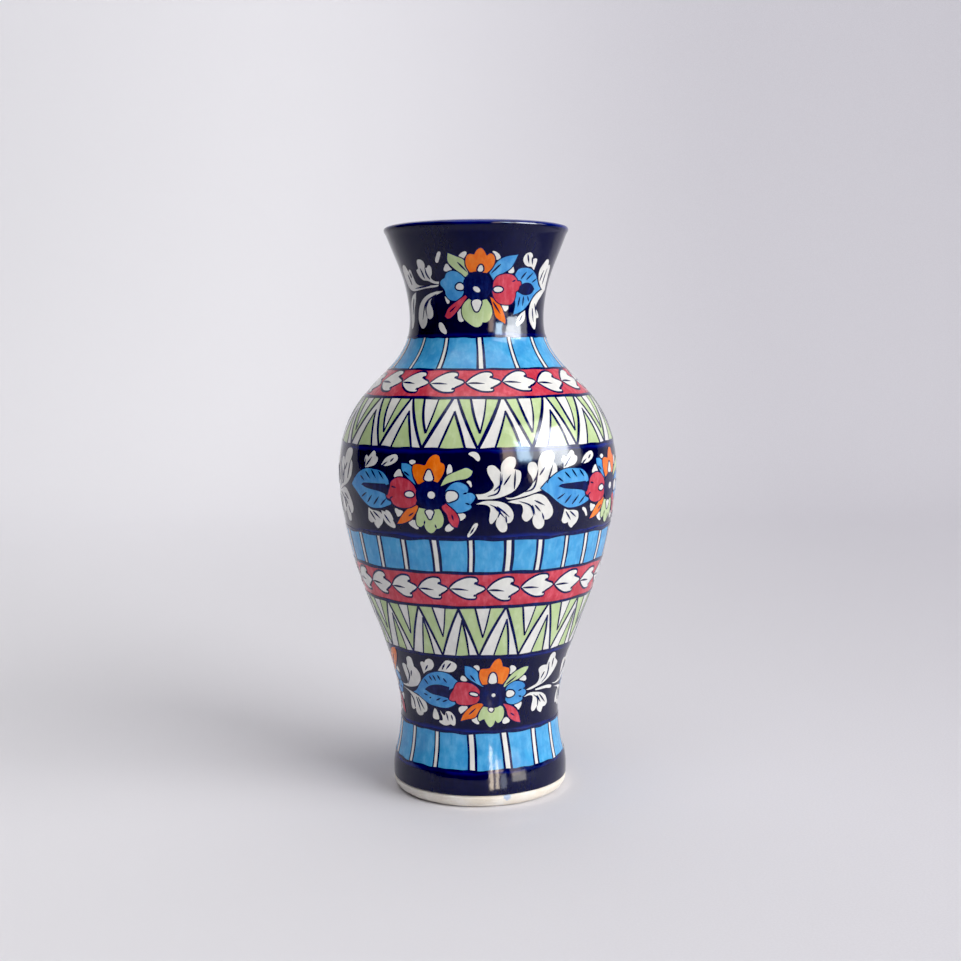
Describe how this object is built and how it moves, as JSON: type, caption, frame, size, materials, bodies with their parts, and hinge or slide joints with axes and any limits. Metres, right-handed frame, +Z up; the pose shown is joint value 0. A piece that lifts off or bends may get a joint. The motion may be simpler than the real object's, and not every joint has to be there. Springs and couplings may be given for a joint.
{
  "type": "ceramic vase",
  "caption": "Hand-painted baluster vase: flared neck, full belly and spreading foot, glazed earthenware with cobalt floral rings between sky, red and green bands.",
  "frame": {"origin": "centre of the foot, on the surface that the vase stands on", "axes": "+Z up the vase's axis, towards the mouth; -Y faces the viewer; +X to the viewer's right"},
  "size_m": [0.1478, 0.1478, 0.3],
  "materials": {
    "bare_clay": "unglazed cream clay, matt",
    "white_glaze": "warm white glaze, glossy",
    "cobalt_glaze": "near-black cobalt glaze, high gloss",
    "sky_glaze": "washed sky-blue glaze, glossy",
    "red_glaze": "brick-rose red glaze, glossy",
    "green_glaze": "pale green glaze, glossy",
    "orange_glaze": "orange painted enamel, glossy"
  },
  "bodies": {
    "root": {"clay_body": "bare_clay", "inner_glaze": "white_glaze", "foot_cobalt_glaze": "cobalt_glaze", "foot_sky_band": "sky_glaze", "waist_cobalt_glaze": "cobalt_glaze", "lower_green_band": "green_glaze", "lower_red_band": "red_glaze", "middle_sky_band": "sky_glaze", "belly_cobalt_glaze": "cobalt_glaze", "upper_green_band": "green_glaze", "upper_red_band": "red_glaze", "upper_sky_band": "sky_glaze", "neck_cobalt_glaze": "cobalt_glaze"}
  },
  "joints": []
}
